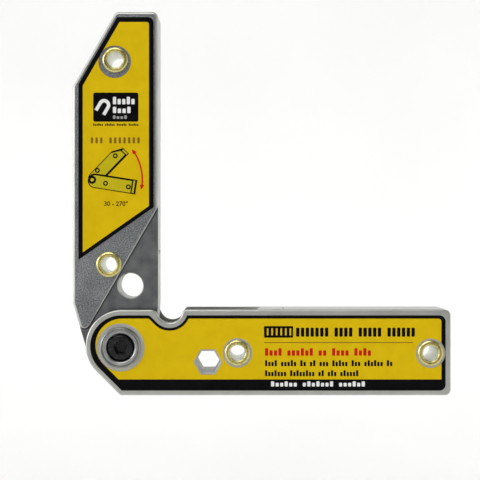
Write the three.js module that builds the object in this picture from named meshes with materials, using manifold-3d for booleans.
// An adjustable welding magnet: two flat magnetic arms that turn on one clamping pivot.
// The lower arm is a pair of steel plates with a core between them. The upper arm is a thinner
// stack of the same kind, and its hinge end swings in the slot between the lower arm's plates.
// A hexagon socket screw draws the lower plates together, and so clamps the upper arm.
//
// Millimetres. X runs along the lower arm, Z is up, and the front faces -Y. The part stands on the
// lower arm's outside edge, and the origin is below the middle of it. The inside faces of the arms
// are square to each other, and OPENING turns the upper arm.
//
// All sizes in an arm's section are measured from the pivot axis.
import * as THREE from 'three';
import { mergeVertices } from 'three/addons/utils/BufferGeometryUtils.js';
import Module from 'manifold-3d';

const wasm = await Module();
wasm.setup();

// ---- Driving dimensions ----
const OPENING = 90;               // degrees between the arms' inside faces
const LEAST_OPENING = 30;         // degrees, where the stop block's slant meets the upper arm

const PLATE = 3;                  // all four steel plates
const EDGE_BREAK = 0.6;           // chamfer round the outer face of a plate
const CORNER_RADIUS = 3;          // corners of the arms, seen from the front

const LOWER_REACH = 165;          // pivot to the lower arm's far end
const LOWER_HINGE_END = 17.5;     // pivot to its near end
const LOWER_INSIDE = 18.8;        // pivot to its inside edge
const LOWER_OUTSIDE = 24;         // pivot to its outside edge
const LOWER_END_RADIUS = 18;      // round end of the lower plates
const SLOT_WIDTH = 19;            // between the lower plates
const NOTCH_FROM_PIVOT = 24.5;    // half-round notch in the inside edge
const NOTCH_RADIUS = 6.5;
const NOTCH_LEFT_ROUND = 3.5;
const NOTCH_RIGHT_ROUND = 2;
const HEX_HOLE_FLATS = 10.8;      // tool hole through the stop block
const HEX_HOLE_X = 43.65;
const HEX_HOLE_BELOW = 7.25;
const STOP_BLOCK_LENGTH = 56.5;   // along the lower arm's outside edge

const UPPER_REACH = 168.5;        // pivot to the upper arm's tip
const UPPER_INSIDE = 18.4;        // pivot to its inside edge
const UPPER_OUTSIDE = 24.5;       // pivot to its outside edge
const UPPER_END_RADIUS = 17.3;    // round hinge end
const UPPER_TAPER_START = 21.9;   // height where the edges start to run in to the round end
const SWING_CLEARANCE = 0.25;     // upper plates to lower plates, each side
const TONGUE_STEP = 1;            // how far the hinge area is milled below the plate's face
const STEP_FROM_PIVOT = 19.2;     // pivot to the edge of the milled area
const STEP_LEAN = 30;             // degrees that edge leans from the arm's length
const STEP_END_UP = 7.9;          // height of the corner where it turns to the outside edge
const STEP_END_TURN = 143;        // direction it then runs out in, degrees from X
const STEP_CORNER_RADIUS = 2.8;
const TIP_CUT_LEAN = 30;          // degrees the tip's slant leans from the arm's length
const TIP_CUT_DROP = 37.5;        // how far down the outside edge it starts
const HINGE_BLOCK_REACH = 48;     // pivot to the end of the hinge block
const TONGUE_HOLE_X = 4.5;
const TONGUE_HOLE_UP = 30.7;
const TONGUE_HOLE_RADIUS = 6.3;
const TONGUE_HOLE_CHAMFER = 0.5;
const SLOT_KEY_WIDTH = 5;         // assembly slot at the end of the hinge block
const SLOT_KEY_HEIGHT = 1.2;
const SLOT_KEY_DEPTH = 3;

const EYELET_BORE = 3.85;         // radii of the tubular rivets
const EYELET_WALL = 0.75;
const EYELET_FLANGE = 6.45;
const EYELET_PROUD = 1;
const LOWER_INNER_EYELET = [58.4, -2.7];   // X and Z from the pivot
const LOWER_OUTER_EYELET_FROM_END = 10.2;
const LOWER_OUTER_EYELET_BELOW = 2.9;
const UPPER_INNER_EYELET = [-6.2, 41.3];
const UPPER_OUTER_EYELET_FROM_TIP = 24.4;
const UPPER_OUTER_EYELET_X = -3.05;

const MAGNETS_PER_ARM = 3;
const CORE_WALL = 5;              // of the core round and between its magnets
const MAGNET_SHORT = 0.5;         // a magnet's face below the core's face

const LABEL = 0.25;               // printed sheet on the plates' faces
const LABEL_EYELET_MARGIN = 0.9;  // bare metal left round what the label goes round
const LABEL_TIP_MARGIN = 1.7;
const LABEL_TIP_HOLE_SHIFT = [-0.25, -0.9];
const LABEL_PIVOT_MARGIN = 2;
const LABEL_HEX_MARGIN = 0.9;
const LABEL_NOTCH_MARGIN = 2.6;
const LOWER_LABEL_INSET = { end: 2.7, hinge: 2.35, inside: 2.8, outside: 2.45 };
const UPPER_LABEL_INSET = { tip: 3.1, inside: 2.15, outside: 3.25, slant: 2.1 };
const UPPER_LABEL_START = 43.7;   // height of its lowest corner
const UPPER_LABEL_RISE = 35;      // degrees its lower edge rises towards the inside

const SCREW_RADIUS = 4;           // M8 socket head cap screw
const SCREW_HEAD_RADIUS = 6.5;
const SCREW_HEAD_HEIGHT = 8;
const SCREW_SOCKET_FLATS = 6;
const SCREW_SOCKET_DEPTH = 4.4;
const SCREW_HEAD_SUNK = 0.7;      // head below the boss's rim
const SCREW_END_SUNK = 0.4;       // screw's end below the nut's face
const THREAD_CLEARANCE = 0.1;
const BOSS_HEAD_CLEARANCE = 0.5;  // round the screw's head, in the boss's recess
const BOSS_WALL = 1.5;            // round the recess
const BOSS_FLANGE_WIDTH = 1.65;   // of the boss and the nut, outside their shanks
const BOSS_FLANGE_HEIGHT = 2;
const BOSS_BEVEL = 0.8;
const NUT_GAP = 1.6;              // between the collar's shank and the nut's
const SPRING_WASHER_THICK = 0.8;
const BUSH_WALL = 1.4;
const RUNNING_CLEARANCE = 0.1;
const FRICTION_WASHER = 1;
const FRICTION_WASHER_RADIUS = 14;

const FIT = 0.3;                  // between faces that are shaped to each other
const ROUND = 32;                 // straight sides in a full circle
const EYELET_SIDES = 24;

// ---- Values that follow ----
const slotFace = SLOT_WIDTH / 2;
const lowerFace = slotFace + PLATE;
const upperFace = slotFace - SWING_CLEARANCE;
const tongueFace = upperFace - TONGUE_STEP;
const upperCoreFace = upperFace - PLATE;
const bossRecess = SCREW_HEAD_RADIUS + BOSS_HEAD_CLEARANCE;
const bossShank = bossRecess + BOSS_WALL;
const bossFlange = bossShank + BOSS_FLANGE_WIDTH;
const rad = THREE.MathUtils.degToRad;

// ---- Outlines, as points in the arm's plane (X across, Y for the height Z) ----
const at = (x, z) => new THREE.Vector2(x, z);
const polar = (r, degrees) => at(r * Math.cos(rad(degrees)), r * Math.sin(rad(degrees)));

// Points on an arc, from one angle to another, with both ends.
function arc(centre, radius, from, to) {
  const sides = Math.max(2, Math.round((Math.abs(to - from) / 360) * ROUND));
  const points = [];
  for (let i = 0; i <= sides; i++) {
    points.push(polar(radius, from + ((to - from) * i) / sides).add(centre));
  }
  return points;
}

function circle(centre, radius, sides = ROUND) {
  const points = [];
  for (let i = 0; i < sides; i++) points.push(polar(radius, (360 * i) / sides).add(centre));
  return points;
}

// A hexagon with its flats at the top and bottom.
const hexagon = (centre, flats) => circle(centre, flats / 2 / Math.cos(Math.PI / 6), 6);

// Where two lines cross, each given by a point and a direction in degrees.
function crossing(p, pDegrees, q, qDegrees) {
  const d = polar(1, pDegrees);
  const e = polar(1, qDegrees);
  const along = (q.clone().sub(p).cross(e)) / d.cross(e);
  return p.clone().add(d.multiplyScalar(along));
}

// Replaces the corner at b by an arc that touches the lines a-b and b-c.
function rounded(a, b, c, radius) {
  const toA = a.clone().sub(b).normalize();
  const toC = c.clone().sub(b).normalize();
  const half = Math.acos(toA.dot(toC)) / 2;
  const start = b.clone().add(toA.clone().multiplyScalar(radius / Math.tan(half)));
  const middle = toA.clone().add(toC).normalize().multiplyScalar(radius / Math.sin(half)).add(b);
  const turn = THREE.MathUtils.radToDeg(Math.PI - 2 * half) * Math.sign(toC.cross(toA));
  const from = THREE.MathUtils.radToDeg(start.clone().sub(middle).angle());
  return arc(middle, radius, from, from + turn);
}

// The tangent from a point to a circle about the pivot. Side is 1 or -1 for the way round.
function tangentAngle(point, radius, side) {
  const direction = THREE.MathUtils.radToDeg(point.angle());
  return direction + side * THREE.MathUtils.radToDeg(Math.acos(radius / point.length()));
}

// The notch, with its shoulders rounded out to the edge, from right to left.
function notchEdge(top) {
  const centre = at(NOTCH_FROM_PIVOT, top);
  const shoulder = (round) => {
    const across = Math.sqrt(NOTCH_RADIUS ** 2 + 2 * NOTCH_RADIUS * round);
    return { across, lean: THREE.MathUtils.radToDeg(Math.atan2(round, across)) };
  };
  const right = shoulder(NOTCH_RIGHT_ROUND);
  const left = shoulder(NOTCH_LEFT_ROUND);
  const rightRound = at(centre.x + right.across, top - NOTCH_RIGHT_ROUND);
  const leftRound = at(centre.x - left.across, top - NOTCH_LEFT_ROUND);
  return [
    ...arc(rightRound, NOTCH_RIGHT_ROUND, 90, 180 - right.lean),
    ...arc(centre, NOTCH_RADIUS, -right.lean, left.lean - 180).slice(1),
    ...arc(leftRound, NOTCH_LEFT_ROUND, left.lean, 90).slice(1),
  ];
}

// The lower arm's outline drawn in by an inset on each side. It runs anticlockwise.
function lowerOutline(inset, notch) {
  const end = LOWER_REACH - inset.end;
  const inside = LOWER_INSIDE - inset.inside;
  const outside = -LOWER_OUTSIDE + inset.outside;
  const radius = LOWER_END_RADIUS - (inset.hinge + inset.inside) / 2;
  const middle = at(radius - LOWER_HINGE_END + inset.hinge, inside - radius);
  const chamferFoot = crossing(polar(radius, 225).add(middle), -45, at(0, outside), 0);
  const corner = (x, z, from) => arc(at(x, z), CORNER_RADIUS, from, from + 90);
  return [
    chamferFoot,
    ...corner(end - CORNER_RADIUS, outside + CORNER_RADIUS, -90),
    ...corner(end - CORNER_RADIUS, inside - CORNER_RADIUS, 0),
    ...notch(inside),
    ...arc(middle, radius, 90, 225),
  ];
}

// The label keeps clear of the notch by an arc that runs out at 45 degrees towards the pivot.
function labelNotchEdge(top) {
  const centre = at(NOTCH_FROM_PIVOT, LOWER_INSIDE);
  const radius = NOTCH_RADIUS + LABEL_NOTCH_MARGIN;
  const start = THREE.MathUtils.radToDeg(Math.asin((top - centre.y) / radius));
  const edge = arc(centre, radius, start, -135);
  const flank = edge.at(-1);
  return [...edge, at(flank.x - (top - flank.y), top)];
}

// The upper arm's outline: round hinge end, parallel edges and a slanted tip.
function upperOutline() {
  const insideFoot = at(UPPER_INSIDE, UPPER_TAPER_START);
  const outsideFoot = at(-UPPER_OUTSIDE, UPPER_TAPER_START);
  const tip = at(UPPER_INSIDE, UPPER_REACH);
  const slantFoot = at(-UPPER_OUTSIDE, UPPER_REACH - TIP_CUT_DROP);
  const slantTop = crossing(slantFoot, 90 - TIP_CUT_LEAN, tip, 180);
  const from = tangentAngle(outsideFoot, UPPER_END_RADIUS, 1);
  const to = tangentAngle(insideFoot, UPPER_END_RADIUS, -1) + 360;
  return [
    ...arc(at(0, 0), UPPER_END_RADIUS, from, to),
    insideFoot,
    ...rounded(insideFoot, tip, slantTop, CORNER_RADIUS),
    ...rounded(tip, slantTop, slantFoot, CORNER_RADIUS),
    ...rounded(slantTop, slantFoot, outsideFoot, CORNER_RADIUS),
    outsideFoot,
  ];
}

// The milled hinge area: everything on the pivot's side of the step, as a cutter's outline.
function milledOutline() {
  const stepLean = 90 - STEP_LEAN;
  const stepPoint = polar(STEP_FROM_PIVOT, stepLean + 90);
  const beyond = UPPER_OUTSIDE + UPPER_INSIDE;
  const stepTop = crossing(stepPoint, stepLean, at(beyond, 0), 90);
  const corner = crossing(stepPoint, stepLean, at(0, STEP_END_UP), 0);
  const runOut = polar(beyond, STEP_END_TURN).add(corner);
  return [
    at(-beyond, -beyond),
    at(beyond, -beyond),
    stepTop,
    ...rounded(stepTop, corner, runOut, STEP_CORNER_RADIUS),
    runOut,
  ];
}

// The upper label, with its lower edge rising towards the inside edge of the arm.
function upperLabelOutline() {
  const left = -UPPER_OUTSIDE + UPPER_LABEL_INSET.outside;
  const right = UPPER_INSIDE - UPPER_LABEL_INSET.inside;
  const top = UPPER_REACH - UPPER_LABEL_INSET.tip;
  const slant = at(-UPPER_OUTSIDE, UPPER_REACH - TIP_CUT_DROP)
    .add(polar(UPPER_LABEL_INSET.slant, -TIP_CUT_LEAN));
  const lean = 90 - TIP_CUT_LEAN;
  const low = at(left, UPPER_LABEL_START);
  const lowRight = crossing(low, UPPER_LABEL_RISE, at(right, 0), 90);
  const topRight = at(right, top);
  const slantTop = crossing(slant, lean, topRight, 180);
  const slantFoot = crossing(slant, lean, at(left, 0), 90);
  return [low, lowRight, ...rounded(lowRight, topRight, slantTop, CORNER_RADIUS), slantTop, slantFoot];
}

// ---- Solids ----
// An outline swept in depth from one Y to another. The chamfer cuts the edges of the -Y face.
function prism(outline, front, back, holes = [], chamfer = 0) {
  const shape = new THREE.Shape(outline);
  shape.holes = holes.map((points) => new THREE.Path(points));
  const settings = { depth: back - front, bevelEnabled: false };
  if (chamfer > 0) {
    Object.assign(settings, { bevelEnabled: true, bevelSegments: 1, bevelThickness: chamfer });
    Object.assign(settings, { bevelSize: chamfer, bevelOffset: -chamfer });
  }
  const swept = new THREE.ExtrudeGeometry(shape, settings);
  swept.rotateX(Math.PI / 2);
  if (chamfer === 0) return swept.translate(0, back, 0);
  // The far end carries the same chamfer, so the sweep is set too deep and its end cut off.
  swept.translate(0, back + chamfer, 0);
  const reach = UPPER_REACH + LOWER_REACH;
  const behind = new THREE.BoxGeometry(2 * reach, 4 * chamfer, 2 * reach).translate(0, back + 2 * chamfer, 0);
  return cut(swept, [behind]);
}

function solid(geometry) {
  const bare = geometry.clone();
  bare.deleteAttribute('normal');
  bare.deleteAttribute('uv');
  const merged = mergeVertices(bare);
  const vertProperties = merged.attributes.position.array;
  const triVerts = new Uint32Array(merged.index.array);
  return new wasm.Manifold(new wasm.Mesh({ numProp: 3, vertProperties, triVerts }));
}

function geometryOf(body) {
  const mesh = body.getMesh();
  const geometry = new THREE.BufferGeometry();
  geometry.setAttribute('position', new THREE.BufferAttribute(mesh.vertProperties, 3));
  geometry.setIndex(new THREE.BufferAttribute(mesh.triVerts, 1));
  geometry.computeVertexNormals();
  return geometry;
}

function cut(geometry, tools) {
  return geometryOf(tools.reduce((body, tool) => body.subtract(solid(tool)), solid(geometry)));
}

// A turned piece about Y, from the radius and Y of its section's corners, in either order round.
function turned(section, sides = ROUND) {
  const points = section.map(([r, y]) => at(r, y));
  if (THREE.ShapeUtils.area(points) < 0) points.reverse();
  return new THREE.LatheGeometry([...points, points[0].clone()], sides);
}

// The same piece for the other face of the arm, mirrored front to back.
function mirrored(geometry) {
  const copy = geometry.index ? geometry.toNonIndexed() : geometry.clone();
  copy.scale(1, -1, 1);
  const p = copy.getAttribute('position');
  for (let i = 0; i < p.count; i += 3) {
    const b = [p.getX(i + 1), p.getY(i + 1), p.getZ(i + 1)];
    p.setXYZ(i + 1, p.getX(i + 2), p.getY(i + 2), p.getZ(i + 2));
    p.setXYZ(i + 2, ...b);
  }
  copy.computeVertexNormals();
  return copy;
}

// ---- Materials ----
const finish = (color, roughness, metalness) => ({ color, roughness, metalness });
const STEEL = finish(0x9a9b95, 0.45, 0.9);
const MILLED_STEEL = finish(0x6e6e70, 0.6, 0.85);
const CAST_ALUMINIUM = finish(0xa8a9a6, 0.6, 0.8);
const FERRITE = finish(0x2b2b2e, 0.75, 0.1);
const YELLOW_ZINC = finish(0xd2c26e, 0.35, 0.9);
const PRINTED_LABEL = finish(0xd0b20c, 0.5, 0);
const BLACK_OXIDE = finish(0x1c1c1e, 0.45, 0.6);
const BRIGHT_STEEL = finish(0xb4b4b2, 0.35, 0.95);
const FIBRE = finish(0x8a5a34, 0.85, 0);
const BRONZE = finish(0x9c7440, 0.5, 0.85);

function piece(name, geometry, look, x = 0, z = 0) {
  const mesh = new THREE.Mesh(geometry, new THREE.MeshStandardMaterial(look));
  mesh.name = name;
  mesh.position.set(x, 0, z);
  return mesh;
}

// ---- Lower arm ----
const lowerOuterEyelet = [LOWER_REACH - LOWER_OUTER_EYELET_FROM_END, -LOWER_OUTER_EYELET_BELOW];
const hexCentre = at(HEX_HOLE_X, -HEX_HOLE_BELOW);
const eyeletHole = EYELET_BORE + EYELET_WALL + RUNNING_CLEARANCE;
const noInset = { end: 0, hinge: 0, inside: 0, outside: 0 };

function lowerPlate() {
  const holes = [
    circle(at(0, 0), bossShank + RUNNING_CLEARANCE),
    hexagon(hexCentre, HEX_HOLE_FLATS),
    circle(at(...LOWER_INNER_EYELET), eyeletHole),
    circle(at(...lowerOuterEyelet), eyeletHole),
  ];
  return prism(lowerOutline(noInset, notchEdge), -lowerFace, -slotFace, holes, EDGE_BREAK);
}

function lowerLabel() {
  const holes = [
    circle(at(0, 0), bossFlange + LABEL_PIVOT_MARGIN),
    hexagon(hexCentre, HEX_HOLE_FLATS + 2 * LABEL_HEX_MARGIN),
    circle(at(...LOWER_INNER_EYELET), EYELET_FLANGE + LABEL_EYELET_MARGIN),
    circle(at(...lowerOuterEyelet), EYELET_FLANGE + LABEL_EYELET_MARGIN),
  ];
  return prism(lowerOutline(LOWER_LABEL_INSET, labelNotchEdge), -lowerFace - LABEL, -lowerFace, holes);
}

// The stop block ends the slot. Its slant stops the closing arm, and its other face the opening arm.
const closedTurn = LEAST_OPENING - 90;
const slantPoint = polar(UPPER_INSIDE + FIT + 0.1, closedTurn);
const slantAngle = 90 + closedTurn;
const openFoot = at(UPPER_OUTSIDE + FIT + 0.2, -UPPER_TAPER_START);
const openLean = 90 + tangentAngle(at(-UPPER_OUTSIDE, UPPER_TAPER_START), UPPER_END_RADIUS, 1) - 180;
const blockStart = crossing(slantPoint, slantAngle, openFoot, openLean);
const blockEnd = openFoot.x + STOP_BLOCK_LENGTH;

function stopBlock() {
  const slantTop = crossing(slantPoint, slantAngle, at(0, LOWER_INSIDE), 0);
  const outline = [
    at(openFoot.x, -LOWER_OUTSIDE),
    at(blockEnd, -LOWER_OUTSIDE),
    at(blockEnd, LOWER_INSIDE),
    slantTop,
    ...rounded(slantTop, blockStart, openFoot, 1),
    openFoot,
  ];
  const holes = [hexagon(hexCentre, HEX_HOLE_FLATS), circle(at(...LOWER_INNER_EYELET), eyeletHole)];
  return prism(outline, -slotFace, slotFace, holes);
}

// Evenly spaced magnet pockets between two ends, as [start, end] pairs.
function pockets(start, end) {
  const length = (end - start - (MAGNETS_PER_ARM - 1) * CORE_WALL) / MAGNETS_PER_ARM;
  return Array.from({ length: MAGNETS_PER_ARM }, (_, i) => {
    const from = start + i * (length + CORE_WALL);
    return [from, from + length];
  });
}

const rectangle = (x0, x1, z0, z1) => [at(x0, z0), at(x1, z0), at(x1, z1), at(x0, z1)];
const throughCut = (outline) => prism(outline, -lowerFace, lowerFace);

const lowerFrameStart = blockEnd + FIT;
const lowerHeights = [CORE_WALL - LOWER_OUTSIDE, LOWER_INSIDE - CORE_WALL];
const lowerPockets = pockets(
  lowerFrameStart + CORE_WALL,
  lowerOuterEyelet[0] - eyeletHole - CORE_WALL,
);

function lowerFrame() {
  const outline = rectangle(lowerFrameStart, LOWER_REACH, -LOWER_OUTSIDE, LOWER_INSIDE);
  const far = arc(at(LOWER_REACH - CORNER_RADIUS, CORNER_RADIUS - LOWER_OUTSIDE), CORNER_RADIUS, -90, 0);
  const near = arc(at(LOWER_REACH - CORNER_RADIUS, LOWER_INSIDE - CORNER_RADIUS), CORNER_RADIUS, 0, 90);
  outline.splice(1, 2, ...far, ...near);
  const frame = prism(outline, -slotFace, slotFace, [circle(at(...lowerOuterEyelet), eyeletHole)]);
  return cut(frame, lowerPockets.map(([x0, x1]) => throughCut(rectangle(x0, x1, ...lowerHeights))));
}

function magnet([start, end], low, high, coreFace, upright) {
  const length = end - start - 2 * FIT;
  const height = high - low - 2 * FIT;
  const depth = 2 * (coreFace - MAGNET_SHORT);
  const size = upright ? [height, depth, length] : [length, depth, height];
  const middle = [(start + end) / 2, (low + high) / 2];
  const [x, z] = upright ? middle.reverse() : middle;
  return new THREE.BoxGeometry(...size).translate(x, 0, z);
}

// A tubular rivet with a rolled flange on each plate.
function eyelet(face) {
  const barrel = EYELET_BORE + EYELET_WALL;
  const rim = face + EYELET_PROUD;
  const half = [
    [EYELET_BORE, face - EYELET_PROUD],
    [EYELET_BORE + 0.3, rim - 0.2],
    [EYELET_BORE + 0.9, rim],
    [EYELET_FLANGE - 0.7, rim],
    [EYELET_FLANGE - 0.1, face + 0.55],
    [EYELET_FLANGE, face],
    [barrel, face],
  ];
  const back = half.map(([r, y]) => [r, -y]).reverse();
  return turned([...back, ...half], EYELET_SIDES);
}

const lowerArm = new THREE.Group();
lowerArm.add(piece('lower_front_plate', lowerPlate(), STEEL));
lowerArm.add(piece('lower_rear_plate', mirrored(lowerPlate()), STEEL));
lowerArm.add(piece('lower_stop_block', stopBlock(), CAST_ALUMINIUM));
lowerArm.add(piece('lower_magnet_frame', lowerFrame(), CAST_ALUMINIUM));
lowerPockets.forEach((pocket, i) => {
  lowerArm.add(piece(`lower_magnet_${i + 1}`, magnet(pocket, ...lowerHeights, slotFace, false), FERRITE));
});
lowerArm.add(piece('lower_inner_eyelet', eyelet(lowerFace), YELLOW_ZINC, ...LOWER_INNER_EYELET));
lowerArm.add(piece('lower_outer_eyelet', eyelet(lowerFace), YELLOW_ZINC, ...lowerOuterEyelet));
lowerArm.add(piece('lower_front_label', lowerLabel(), PRINTED_LABEL));
lowerArm.add(piece('lower_rear_label', mirrored(lowerLabel()), PRINTED_LABEL));

// ---- Pivot ----
// The collar's shank and the nut's shank meet inside the bush, and are the pin it turns on.
const rimY = -lowerFace - BOSS_FLANGE_HEIGHT;
const headTop = rimY + SCREW_HEAD_SUNK;
const headSeat = headTop + SCREW_HEAD_HEIGHT;
const recessFloor = headSeat + SPRING_WASHER_THICK + 2 * RUNNING_CLEARANCE;
const collarEnd = Math.max(recessFloor + 3, -NUT_GAP / 2);
const nutStart = collarEnd + NUT_GAP;
const screwEnd = lowerFace + BOSS_FLANGE_HEIGHT - SCREW_END_SUNK;
const screwHole = SCREW_RADIUS + RUNNING_CLEARANCE + THREAD_CLEARANCE;

const pivotBoss = () => turned([
  [screwHole, collarEnd],
  [screwHole, recessFloor],
  [bossRecess, recessFloor],
  [bossRecess, rimY + 0.3],
  [bossRecess + 0.3, rimY],
  [bossFlange - BOSS_BEVEL - 0.4, rimY],
  [bossFlange, rimY + BOSS_BEVEL],
  [bossFlange, -lowerFace],
  [bossShank, -lowerFace],
  [bossShank, collarEnd],
]);

const pivotNut = () => turned([
  [SCREW_RADIUS + THREAD_CLEARANCE, nutStart],
  [bossShank, nutStart],
  [bossShank, lowerFace],
  [bossFlange, lowerFace],
  [bossFlange, -rimY - BOSS_BEVEL],
  [bossFlange - BOSS_BEVEL, -rimY],
  [SCREW_RADIUS + THREAD_CLEARANCE + 0.6, -rimY],
  [SCREW_RADIUS + THREAD_CLEARANCE, -rimY - 0.6],
]);

const ring = (inner, outer, from, to) => turned([
  [inner, from],
  [outer, from],
  [outer, to],
  [inner, to],
]);

function frictionWasher() {
  const front = tongueFace + (slotFace - tongueFace - FRICTION_WASHER) / 2;
  return ring(bossShank + 2 * RUNNING_CLEARANCE, FRICTION_WASHER_RADIUS, front, front + FRICTION_WASHER);
}

function springWasher() {
  const front = headSeat + RUNNING_CLEARANCE;
  return ring(screwHole, SCREW_HEAD_RADIUS, front, front + SPRING_WASHER_THICK);
}

function clampScrew() {
  const body = turned([
    [0, headTop],
    [SCREW_HEAD_RADIUS - 0.6, headTop],
    [SCREW_HEAD_RADIUS, headTop + 0.6],
    [SCREW_HEAD_RADIUS, headSeat],
    [SCREW_RADIUS, headSeat],
    [SCREW_RADIUS, screwEnd - 0.8],
    [SCREW_RADIUS - 0.8, screwEnd],
    [0, screwEnd],
  ]);
  const socket = prism(hexagon(at(0, 0), SCREW_SOCKET_FLATS), headTop - 1, headTop + SCREW_SOCKET_DEPTH);
  return cut(body, [socket]);
}

lowerArm.add(piece('pivot_boss', pivotBoss(), BRIGHT_STEEL));
lowerArm.add(piece('pivot_nut', pivotNut(), BRIGHT_STEEL));
lowerArm.add(piece('friction_washer_front', mirrored(frictionWasher()), FIBRE));
lowerArm.add(piece('friction_washer_rear', frictionWasher(), FIBRE));
lowerArm.add(piece('spring_washer', springWasher(), BRIGHT_STEEL));
lowerArm.add(piece('clamp_screw', clampScrew(), BLACK_OXIDE));

// ---- Upper arm ----
const upperOuterEyelet = [UPPER_OUTER_EYELET_X, UPPER_REACH - UPPER_OUTER_EYELET_FROM_TIP];
const bushOuter = bossShank + RUNNING_CLEARANCE + BUSH_WALL;
const bushHole = circle(at(0, 0), bushOuter + RUNNING_CLEARANCE);
const tongueHole = circle(at(TONGUE_HOLE_X, TONGUE_HOLE_UP), TONGUE_HOLE_RADIUS);

function upperPlate() {
  const holes = [
    bushHole,
    tongueHole,
    circle(at(...UPPER_INNER_EYELET), eyeletHole),
    circle(at(...upperOuterEyelet), eyeletHole),
  ];
  const plate = prism(upperOutline(), -upperFace, -upperCoreFace, holes, EDGE_BREAK);
  const chamfer = turned([
    [0, -tongueFace - TONGUE_STEP],
    [TONGUE_HOLE_RADIUS + TONGUE_HOLE_CHAMFER + TONGUE_STEP, -tongueFace - TONGUE_STEP],
    [TONGUE_HOLE_RADIUS - 0.2, -tongueFace + TONGUE_HOLE_CHAMFER + 0.2],
    [0, -tongueFace + TONGUE_HOLE_CHAMFER + 0.2],
  ]);
  chamfer.translate(TONGUE_HOLE_X, 0, TONGUE_HOLE_UP);
  return cut(plate, [prism(milledOutline(), -upperFace - 1, -tongueFace), chamfer]);
}

function upperLabel() {
  const tipCentre = at(...upperOuterEyelet).add(at(...LABEL_TIP_HOLE_SHIFT));
  const tipHole = circle(tipCentre, EYELET_FLANGE + LABEL_TIP_MARGIN);
  return prism(upperLabelOutline(), -upperFace - LABEL, -upperFace, [tipHole]);
}

// The core is the arm's outline, cut across where the hinge block ends and the magnets' frame starts.
function upperCore(holes, cutFrom, cutTo) {
  const core = prism(upperOutline(), -upperCoreFace, upperCoreFace, holes);
  const across = UPPER_OUTSIDE + UPPER_INSIDE;
  return cut(core, [throughCut(rectangle(-across, across, cutFrom, cutTo))]);
}

function hingeBlock() {
  const holes = [bushHole, tongueHole, circle(at(...UPPER_INNER_EYELET), eyeletHole)];
  const block = upperCore(holes, HINGE_BLOCK_REACH, 2 * UPPER_REACH);
  const key = new THREE.BoxGeometry(2 * SLOT_KEY_DEPTH, SLOT_KEY_WIDTH, 2 * SLOT_KEY_HEIGHT);
  return cut(block, [key.translate(UPPER_INSIDE, 0, HINGE_BLOCK_REACH)]);
}

const upperFrameStart = HINGE_BLOCK_REACH + FIT;
const pocketEnd = Math.min(UPPER_REACH - TIP_CUT_DROP, upperOuterEyelet[1] - eyeletHole - CORE_WALL);
const upperPockets = pockets(upperFrameStart + CORE_WALL, pocketEnd);
const upperWidths = [CORE_WALL - UPPER_OUTSIDE, UPPER_INSIDE - CORE_WALL];

function upperFrame() {
  const hole = circle(at(...upperOuterEyelet), eyeletHole);
  const frame = upperCore([hole], -2 * UPPER_OUTSIDE, upperFrameStart);
  return cut(frame, upperPockets.map((pocket) => throughCut(rectangle(...upperWidths, ...pocket))));
}

const pivotBush = () => ring(bossShank + RUNNING_CLEARANCE, bushOuter, -tongueFace, tongueFace);

const upperArm = new THREE.Group();
upperArm.add(piece('upper_front_plate', upperPlate(), MILLED_STEEL));
upperArm.add(piece('upper_rear_plate', mirrored(upperPlate()), MILLED_STEEL));
upperArm.add(piece('upper_hinge_block', hingeBlock(), CAST_ALUMINIUM));
upperArm.add(piece('upper_magnet_frame', upperFrame(), CAST_ALUMINIUM));
upperPockets.forEach((pocket, i) => {
  upperArm.add(piece(`upper_magnet_${i + 1}`, magnet(pocket, ...upperWidths, upperCoreFace, true), FERRITE));
});
upperArm.add(piece('upper_inner_eyelet', eyelet(upperFace), YELLOW_ZINC, ...UPPER_INNER_EYELET));
upperArm.add(piece('upper_outer_eyelet', eyelet(upperFace), YELLOW_ZINC, ...upperOuterEyelet));
upperArm.add(piece('upper_front_label', upperLabel(), PRINTED_LABEL));
upperArm.add(piece('upper_rear_label', mirrored(upperLabel()), PRINTED_LABEL));
upperArm.add(piece('pivot_bush', pivotBush(), BRONZE));
upperArm.rotation.y = rad(90 - OPENING);

// ---- The magnet, with the origin below its middle ----
const magnetHolder = new THREE.Group();
const atPivot = new THREE.Group();
atPivot.add(lowerArm, upperArm);
atPivot.position.set(-(LOWER_REACH - UPPER_OUTSIDE) / 2, 0, LOWER_OUTSIDE);
magnetHolder.add(atPivot);

export default magnetHolder;
